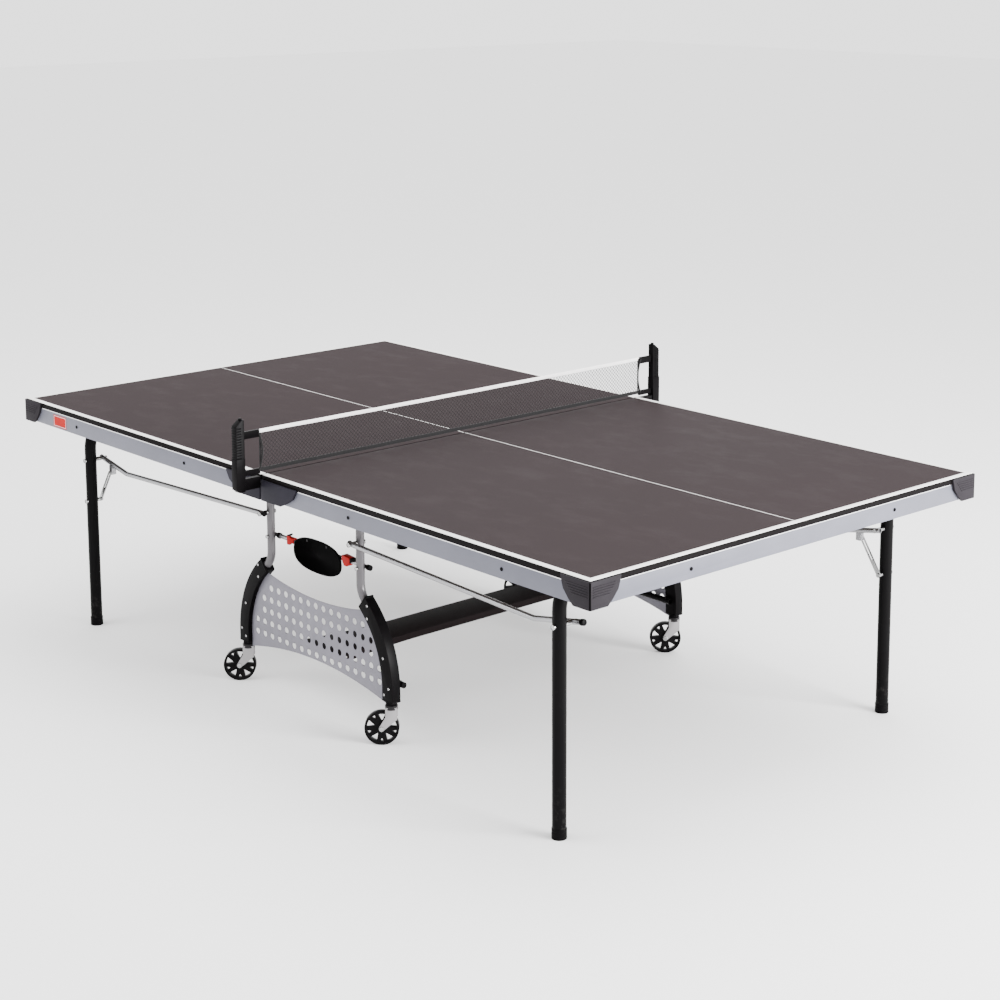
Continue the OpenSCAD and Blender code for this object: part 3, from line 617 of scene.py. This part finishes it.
def makeLipHighlights():
    low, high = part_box("apron_sides_r")
    face, top = -low.y, high.z - 0.0003
    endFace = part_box("apron_end_r")[1].x
    tall, proud = lipLook["tall"], lipLook["proud"]
    near = block((lipLook["along"][0], -face - proud, top - tall),
                 (lipLook["along"][1], -face + 0.001, top), "lipHighlight")
    end = block((endFace - 0.001, -lipLook["across"], top - tall),
                (endFace + proud, lipLook["across"], top), "lipHighlight")
    for lipHighlight in (near, end):
        roundEdges(lipHighlight, 0.0008, 3)
        smooth(lipHighlight, 60)
    lips = joinAll([near, end, copyPiece(near, "lipHighlight", acrossMirror)], "apronLipHighlightsRight")
    other = copyPiece(lips, "apronLipHighlightsLeft", halfTurn)
    # both lips carry the near-white painted highlight
    dress(lips, "lipHighlight", "apron", "half_r")
    dress(other, "lipHighlight", "apron", "half_l")


# a plain label on the left half's apron: a pale line just inside its rim
labelLook = {"x": (-1.196, -1.116), "z": (0.694, 0.733), "thick": 0.0004, "rim": 0.0025, "inner": 0.0015,
             "halfTall": 0.0175, "largestRim": 0.0004}


def makeLabel():
    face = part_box("apron_sides_l")[0].y
    piece = block((labelLook["x"][0], face - labelLook["thick"], labelLook["z"][0]),
                  (labelLook["x"][1], face, labelLook["z"][1]), "plainLabel")
    for look in ("label", "labelRim"):
        piece.data.materials.append(looks[look].material)
    front = lambda centre, normal: normal.y < -0.9
    editFaces(piece, front, lambda: bpy.ops.mesh.inset(thickness=labelLook["rim"]),
              lambda: bpy.ops.mesh.inset(thickness=labelLook["inner"]))
    middleX, middleZ = sum(labelLook["x"]) / 2, sum(labelLook["z"]) / 2
    halfWide = (labelLook["x"][1] - labelLook["x"][0]) / 2 - labelLook["rim"]
    halfTall, inner = labelLook["halfTall"], labelLook["inner"]
    for polygon in piece.data.polygons:
        across = abs(polygon.center.x - middleX)
        up = abs(polygon.center.z - middleZ)
        nearRim = polygon.area < labelLook["largestRim"] and polygon.normal.y < -0.9
        onInner = halfWide - inner < across < halfWide or halfTall - inner < up < halfTall
        polygon.material_index = 1 if nearRim and onInner else 0
    dress(piece, None, "latch_red", "half_l")


makeAprons()
makeLipHighlights()
makeLabel()
print("aprons done")


# steel under the board
for half in "rl":
    for node, name, width in (("under_rails_", "underRails.", 0.0012),
                              ("hinge_brackets_", "hingeBrackets.", 0.0009)):
        steel = rounded(node + half, name + half, width)
        dress(steel, "blackSteel", "steel_dark", "half_" + half, node + half)


# feet: capped drums with two grip grooves
footLook = {"grooves": (0.007, 0.019), "grooveWidth": 0.0022, "grooveDepth": 0.0009}


def makeFeet():
    low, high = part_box("foot_caps_r")
    radius = (high.x - low.x) / 2
    foot = drum((legPivot.x, low.y + radius, (low.z + high.z) / 2), radius, high.z - low.z, corners=64,
                name="foot")
    for z in footLook["grooves"]:
        for edge in (z, z + footLook["grooveWidth"]):
            cut(foot, (0, 0, edge), (0, 0, 1))
    bands = [(z, z + footLook["grooveWidth"]) for z in footLook["grooves"]]
    inGroove = lambda centre, normal: abs(normal.z) < 0.5 and any(z < centre.z < top for z, top in bands)
    editFaces(foot, inGroove, lambda: bpy.ops.mesh.extrude_region_shrink_fatten(
        TRANSFORM_OT_shrink_fatten={"value": -footLook["grooveDepth"], "use_even_offset": True}))
    roundEdges(foot, 0.0006, 2, 40)
    smooth(foot, 50)
    feet = joinAll([foot, copyPiece(foot, "foot.far", acrossMirror)], "feetRight")
    other = copyPiece(feet, "feetLeft", halfTurn)
    dress(feet, "plastic", "plastic_black", "legs_r", "foot_caps_r")
    dress(other, "plastic", "plastic_black", "legs_l", "foot_caps_l")


makeFeet()
print("feet done")


# bolt heads: domes over the ends of the pins
headLook = {"radius": 0.0078, "height": 0.0045, "smallRadius": 0.006, "smallHeight": 0.0035}


def makeHeads():
    newHead = lambda: domeHead(headLook["radius"], headLook["height"], 0.0012)
    small = domeHead(headLook["smallRadius"], headLook["smallHeight"], 0.0009)
    low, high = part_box("leg_pins_r")
    x = legPivot.x
    legSpots = [((x, low.y + 0.001, rodPin.z), (0, -1, 0)), ((x, high.y - 0.001, rodPin.z), (0, 1, 0)),
                ((x, high.y - 0.001, bracePin.z), (0, 1, 0))]
    legHeads = scatter(newHead(), legSpots, "legHeadsRight")
    other = copyPiece(legHeads, "legHeadsLeft", halfTurn)
    dress(legHeads, "zinc", "bolt", "legs_r")
    dress(other, "zinc", "bolt", "legs_l")
    low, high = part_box("frame_bolts")
    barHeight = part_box("crossbar_near")
    barZ = (barHeight[0].z + barHeight[1].z) / 2
    spots, smallSpots = [], []
    for x in (-rodPin.x, rodPin.x):
        for y, way in ((low.y + 0.001, -1), (high.y - 0.001, 1)):
            spots.append(((x, y, rodPin.z), (0, way, 0)))
            smallSpots.append(((x, way * 0.5953, barZ), (0, way, 0)))
    heads = scatter(newHead(), spots, "postHeads")
    dress(heads, "zinc", "bolt", "carriage")
    dress(scatter(small, smallSpots, "barHeads"), "zinc", "bolt", "carriage")


# black plugs in the rod ends at the posts
plugLook = {"past": 0.0098, "radius": 0.0088, "long": 0.006, "slope": (0.99935, 0, -0.036)}


def makeRodPlugs():
    slope = Vector(plugLook["slope"])
    plugs = []
    for y in (-0.610, 0.610):
        plug = drum((0, 0, 0), plugLook["radius"], plugLook["long"], corners=32, name="plug")
        roundEdges(plug, 0.0016, 3)
        smooth(plug, 50)
        place = Vector((rodPin.x, y, rodPin.z)) - slope * plugLook["past"]
        plug.data.transform(facing(place, -slope))
        plugs.append(plug)
    plugs = joinAll(plugs, "rodPostPlugsRight")
    other = copyPiece(plugs, "rodPostPlugsLeft", halfTurn)
    dress(plugs, "plastic", "plastic_black", "rods_r")
    dress(other, "plastic", "plastic_black", "rods_l")


makeHeads()
makeRodPlugs()
print("bolt heads done")


# islands of a node, as the middle of each
def islands(node):
    piece = rounded(node, "islands", 0.0)
    pickOnly(piece)
    bpy.ops.mesh.separate(type="LOOSE")
    found = []
    for part in list(bpy.context.selected_objects):
        corners = [vertex.co for vertex in part.data.vertices]
        found.append(sum(corners, Vector()) / len(corners))
        bpy.data.objects.remove(part)
    return found


screwLook = {"radius": 0.0042, "height": 0.0026}


def makeShroudScrews():
    model = domeHead(screwLook["radius"], screwLook["height"], 0.0007)
    spots = [(place, (0, math.copysign(1, place.y), 0)) for place in islands("shroud_screws")]
    dress(scatter(model, spots, "shroudScrews"), "zinc", "bolt", "carriage", "shroud_screws")


makeShroudScrews()


# carriage: shrouds, panels, caps and shelf with softened edges
for side in sides:
    shell = rounded("shrouds_" + side, "shroudShells." + side, 0.0055, 4)
    dress(shell, "plastic", "plastic_black", "carriage", "shrouds_" + side)
    panel = rounded("side_panel_" + side, "perforatedPanel." + side, 0.0004)
    dress(panel, "panel", "panel_silver", "carriage", "side_panel_" + side)
dress(rounded("bar_caps", "barEndCaps", 0.0018, 3), "plastic", "plastic_black", "carriage", "bar_caps")
dress(rounded("shelf", "shelfTray", 0.0008), "shelf", "leg_black", "carriage", "shelf")


# shroud ends: a sloping cap where each post comes out, and a neck over each caster
shroudLook = {"wide": 0.048, "deep": 0.033, "capTall": 0.007, "topX": 0.2463, "topZ": 0.3985, "lean": 51,
              "neckRadius": 0.0165, "footTall": 0.006, "footRound": 0.0028}


def makeShroudEnds():
    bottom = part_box("shrouds_near")[0].z
    stemX = joints["caster_near_r_swivel"]["pos_m"][0]
    postY = abs(joints["caster_near_r_swivel"]["pos_m"][1])
    wide, deep, tall = shroudLook["wide"] / 2, shroudLook["deep"] / 2, shroudLook["capTall"] / 2
    cap = block((-wide, -deep, -tall), (wide, deep, tall), "cap")
    roundEdges(cap, 0.003, 3)
    smooth(cap, 50)
    foot = block((-wide, -deep, 0), (wide, deep, shroudLook["footTall"]), "foot")
    roundEdges(foot, shroudLook["footRound"], 3)
    smooth(foot, 50)
    neck = drum((0, 0, -0.006), shroudLook["neckRadius"], 0.012, corners=40, name="neck")
    roundEdges(neck, 0.0012, 2)
    smooth(neck, 50)
    lean = Matrix.Rotation(-math.radians(shroudLook["lean"]), 4, "Y")
    parts = []
    for y in (-postY, postY):
        top = Matrix.Translation((shroudLook["topX"], y, shroudLook["topZ"]))
        parts.append(copyPiece(cap, "cap", top @ lean))
        for model in (foot, neck):
            parts.append(copyPiece(model, "end", Matrix.Translation((stemX, y, bottom - 0.001))))
    parts += [copyPiece(part, "end", alongMirror) for part in parts]
    for model in (cap, foot, neck):
        bpy.data.objects.remove(model)
    dress(joinAll(parts, "shroudEnds"), "plastic", "plastic_black", "carriage")


makeShroudEnds()
print("carriage done")


# blank oval plates with a raised rim and two small screws
plateLook = {"rim": 0.0045, "sunk": 0.0007, "screwSpread": 0.048, "screwUp": 0.040}


def makePlates():
    for side, way in sides.items():
        node = "name_plate_" + side
        low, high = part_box(node)
        face = low.y if way < 0 else high.y
        piece = rounded(node, "blankPlate." + side, 0.0009)
        sink = {"value": (0, -way * plateLook["sunk"], 0)}
        editFaces(piece, lambda centre, normal: normal.y * way > 0.9 and abs(centre.y - face) < 0.0004,
                  lambda: bpy.ops.mesh.inset(thickness=plateLook["rim"]),
                  lambda: bpy.ops.mesh.extrude_region_move(TRANSFORM_OT_translate=sink))
        dress(piece, "plate", "plastic_black", "carriage", node)
        model = domeHead(0.0035, 0.0018, 0.0005)
        z = (low.z + high.z) / 2 + plateLook["screwUp"]
        spread = plateLook["screwSpread"]
        spots = [((x, face - way * 0.0006, z), (0, way, 0)) for x in (-spread, spread)]
        dress(scatter(model, spots, "plateScrews." + side), "bearing", "bolt", "carriage")


makePlates()
print("plates done")


# latches: red bodies with black tips
latchLook = {"blockTip": 0.010, "bladeTip": 0.0135}


def makeLatch(corner):
    node = "latch_" + corner
    hinge = Vector(joints["latch_" + corner]["pos_m"])
    outward = math.copysign(1, hinge.x)
    isBlock = corner in ("near_r", "far_l")
    piece = rounded(node, "redLatch." + corner, 0.0012, 2)
    if isBlock:
        edge = hinge.x + outward * latchLook["blockTip"]
        cut(piece, (edge, 0, 0), (1, 0, 0))
        inTip = lambda centre: (centre.x - edge) * outward > 0
    else:
        edge = hinge.z + latchLook["bladeTip"]
        cut(piece, (0, 0, edge), (0, 0, 1))
        inTip = lambda centre: centre.z > edge
    piece.data.materials.clear()
    for look in ("red", "plastic"):
        piece.data.materials.append(looks[look].material)
    for face in piece.data.polygons:
        face.material_index = 1 if inTip(face.center) else 0
    dress(piece, None, "latch_red", "latch_" + corner, node)


# casters: a bearing under the shroud and a nut at each end of the axle
casterLook = {"bearingRadius": 0.0188, "bearing": (0.1055, 0.1175), "grooveAt": (0.42, 0.58),
              "groove": 0.0012, "nutRadius": 0.0078, "nutTall": 0.0045, "nutOut": 0.0160}


def makeCasterTrim(corner):
    stem = Vector(joints[f"caster_{corner}_swivel"]["pos_m"])
    axle = joints[f"wheel_{corner}_roll"]
    low, high = casterLook["bearing"]
    ring = drum((stem.x, stem.y, (low + high) / 2), casterLook["bearingRadius"], high - low, corners=48,
                name="bearing")
    bottom, top = [low + (high - low) * share for share in casterLook["grooveAt"]]
    for z in (bottom, top):
        cut(ring, (0, 0, z), (0, 0, 1))
    editFaces(ring, lambda centre, normal: abs(normal.z) < 0.5 and bottom < centre.z < top,
              lambda: bpy.ops.mesh.extrude_region_shrink_fatten(
                  TRANSFORM_OT_shrink_fatten={"value": -casterLook["groove"], "use_even_offset": True}))
    roundEdges(ring, 0.0007, 2, 40)
    smooth(ring, 50)
    dress(ring, "bearing", "bolt", "caster_" + corner)
    nuts = []
    place, along = Vector(axle["pos_m"]), Vector(axle["axis"])
    for way in (-1, 1):
        nut = drum((0, 0, casterLook["nutTall"] / 2), casterLook["nutRadius"], casterLook["nutTall"],
                   corners=6, name="nut")
        roundEdges(nut, 0.0009, 2)
        smooth(nut, 40)
        nut.data.transform(facing(place + along * way * casterLook["nutOut"], along * way))
        nuts.append(nut)
    dress(joinAll(nuts, "axleNuts." + corner), "zinc", "bolt", "caster_" + corner)


for corner in ("near_r", "far_l", "near_l", "far_r"):
    makeLatch(corner)
    makeCasterTrim(corner)
    fork = rounded("fork_" + corner, "casterFork." + corner, 0.0007)
    dress(fork, "fork", "fork_grey", "caster_" + corner, "fork_" + corner)
    wheel = rounded("wheel_" + corner, "spokedWheel." + corner, 0.0012, 2)
    dress(wheel, "wheel", "wheel_black", "wheel_" + corner, "wheel_" + corner)
for end in ("near_r", "far_l"):
    plug = rounded("rod_plug_" + end, "rodEndPlug." + end, 0.0025, 3)
    dress(plug, "plastic", "plastic_black", "rods_" + end[-1], "rod_plug_" + end)
print("latches and casters done")


# net: one flat sheet with its tapes, and cords that draw its ends to the posts
netLook = {"columns": 120, "rows": 10, "ripple": 0.0008, "topTape": 0.0108, "bottomTape": 0.0115,
           "tapeThick": 0.0036, "endHem": 0.006, "cordRadius": 0.0026, "cordBow": 0.012, "sag": 0.002}


def tapeStrip(name, lowZ, highZ, endY, thick, sagOf):
    strip = block((-thick / 2, -endY, lowZ), (thick / 2, endY, highZ), name)
    roundEdges(strip, min(thick, highZ - lowZ) * 0.32, 3)
    for count in range(1, 40):
        cut(strip, (0, -endY + 2 * endY * count / 40, 0), (0, 1, 0))
    for vertex in strip.data.vertices:
        vertex.co.z -= sagOf(vertex.co.y)
        vertex.co.x += netLook["ripple"] * math.sin(vertex.co.y * 31)
    return smooth(strip, 50)


def makeNet():
    low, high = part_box("net")
    endY = high.y
    sagOf = lambda y: netLook["sag"] * (1 - (y / endY) ** 2)
    clearPicks()
    bpy.ops.mesh.primitive_grid_add(x_subdivisions=netLook["columns"], y_subdivisions=netLook["rows"],
                                    size=1, rotation=(math.pi / 2, 0, math.pi / 2))
    sheet = bpy.context.object
    settle(sheet, "netMesh")
    tall, wide = high.z - low.z, high.y - low.y
    for vertex in sheet.data.vertices:
        y, z = vertex.co.y * wide, low.z + (vertex.co.z + 0.5) * tall
        vertex.co = (netLook["ripple"] * math.sin(y * 31) * 0.9, y, z)
    layer = sheet.data.uv_layers[0]
    layer.name = "netMap"
    for loop in sheet.data.loops:
        place = sheet.data.vertices[loop.vertex_index].co
        layer.data[loop.index].uv = (place.y, place.z)
    for vertex in sheet.data.vertices:
        share = (vertex.co.z - low.z) / tall
        vertex.co.z -= sagOf(vertex.co.y) * share
    smooth(sheet, 60)
    thick = netLook["tapeThick"]
    topTape = tapeStrip("netTopTape", high.z - netLook["topTape"], high.z, endY, thick, sagOf)
    bottomTape = tapeStrip("netBottomTape", low.z, low.z + netLook["bottomTape"], endY, thick, lambda y: 0.0)
    hems = [block((-thick * 0.35, way * (endY - netLook["endHem"]), low.z + 0.004),
                  (thick * 0.35, way * endY, high.z - 0.004), "hem") for way in (-1, 1)]
    for hem in hems:
        faceNormalsOut(hem)
        roundEdges(hem, 0.0008, 2)
    hem = smooth(joinAll(hems, "netEndHems"), 50)
    cords = []
    for way in (-1, 1):
        curve = bpy.data.curves.new("cordPath", "CURVE")
        curve.dimensions = "3D"
        curve.bevel_depth = netLook["cordRadius"]
        curve.bevel_resolution = 4
        curve.use_fill_caps = True
        spline = curve.splines.new("POLY")
        spline.points.add(24)
        for number, point in enumerate(spline.points):
            share = number / 24
            bow = netLook["cordBow"] * math.sin(share * math.pi)
            point.co = (0.0045, way * (endY + 0.004 - bow), low.z + 0.004 + (tall - 0.010) * share, 1)
        cord = bpy.data.objects.new("cord", curve)
        bpy.context.scene.collection.objects.link(cord)
        pickOnly(cord)
        bpy.ops.object.convert(target="MESH")
        cords.append(bpy.context.object)
    cords = smooth(joinAll(cords, "netEndCords"), 60)
    dress(sheet, "net", "net_mesh", "net_set", "net")
    dress(topTape, "whiteTape", "net_mesh", "net_set")
    dress(bottomTape, "blackTape", "net_mesh", "net_set")
    dress(hem, "blackTape", "net_mesh", "net_set")
    dress(cords, "blackTape", "net_mesh", "net_set")


# net posts with grip ribs on their outer face and a small cap
netPostLook = {"ribs": 12, "ribPitch": 0.0078, "ribTall": 0.0046, "ribProud": 0.0011, "ribReach": 0.0175,
               "firstRib": 0.822, "capRadius": 0.0055, "capTall": 0.007}


def makeNetPosts():
    for side, way in sides.items():
        node = "net_post_" + side
        low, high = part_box(node)
        post = rounded(node, "netPost." + side, 0.0036, 3)
        outer = (high.y if way > 0 else low.y) - way * 0.002
        half = high.x - 0.002 + netPostLook["ribProud"]
        reach = netPostLook["ribReach"]
        tall = netPostLook["ribTall"] / 2
        parts = [post]
        for count in range(netPostLook["ribs"]):
            z = netPostLook["firstRib"] + count * netPostLook["ribPitch"]
            ends = sorted((outer + way * netPostLook["ribProud"], outer - way * reach))
            rib = block((-half, ends[0], z - tall), (half, ends[1], z + tall), "rib")
            roundEdges(rib, 0.001, 3, 60)
            parts.append(smooth(rib, 60))
        cap = drum((0, outer - way * 0.021, high.z + netPostLook["capTall"] / 2 - 0.002),
                   netPostLook["capRadius"], netPostLook["capTall"], corners=32, name="cap")
        roundEdges(cap, 0.002, 3)
        parts.append(smooth(cap, 60))
        dress(joinAll(parts, "netPost." + side), "plastic", "net_post_black", "net_set", node)


makeNet()
makeNetPosts()
print("net done")


# bare CAD nodes that keep their shape
keptLooks = {
    "black": ("leg_frame_r", "leg_frame_l", "lower_tube_near", "lower_tube_far"),
    "tube": ("posts_near", "posts_far"),
    "rod": ("rod_near_r", "rod_far_l", "rod_far_r", "rod_near_l", "crossbar_near", "crossbar_far"),
    "zinc": ("leg_pins_r", "leg_pins_l", "frame_bolts", "brace_far_r", "brace_near_l"),
}
for look, nodes in keptLooks.items():
    for node in nodes:
        kept = frame["nodes"][node]
        kept.data.materials.clear()
        kept.data.materials.append(looks[look].material)
print("carried nodes painted")


# studio: pale floor, white surround and three soft lamps
studio = {"floor": 60.0, "world": 2.3, "key": 1150.0, "fill": 160.0, "top": 220.0}
clearPicks()
bpy.ops.mesh.primitive_plane_add(size=studio["floor"])
floor = bpy.context.object
floor.name = "studioFloor"
floor.data.materials.append(stageFloor().material)
world = bpy.data.worlds.new("studioWorld")
world.use_nodes = True
world.node_tree.nodes["Background"].inputs["Color"].default_value = (1, 1, 1, 1)
world.node_tree.nodes["Background"].inputs["Strength"].default_value = studio["world"]
bpy.context.scene.world = world


def softLamp(name, place, aim, size, power):
    data = bpy.data.lights.new(name, "AREA")
    data.shape = "RECTANGLE"
    data.size, data.size_y = size
    data.energy = power
    lamp = bpy.data.objects.new(name, data)
    lamp.location = place
    lamp.rotation_euler = (Vector(aim) - Vector(place)).to_track_quat("-Z", "Y").to_euler()
    lamp.visible_camera = False
    bpy.context.scene.collection.objects.link(lamp)


softLamp("keyLamp", (6.0, 1.6, 1.7), (1.3, 0, 0.7), (3.0, 2.0), studio["key"])
softLamp("fillLamp", (-2.5, -4.5, 4.0), (0, 0, 0.5), (3.5, 2.5), studio["fill"])
softLamp("topLamp", (0, 1.5, 5.0), (0, 0, 0.7), (5.0, 4.0), studio["top"])
print("studio lit")
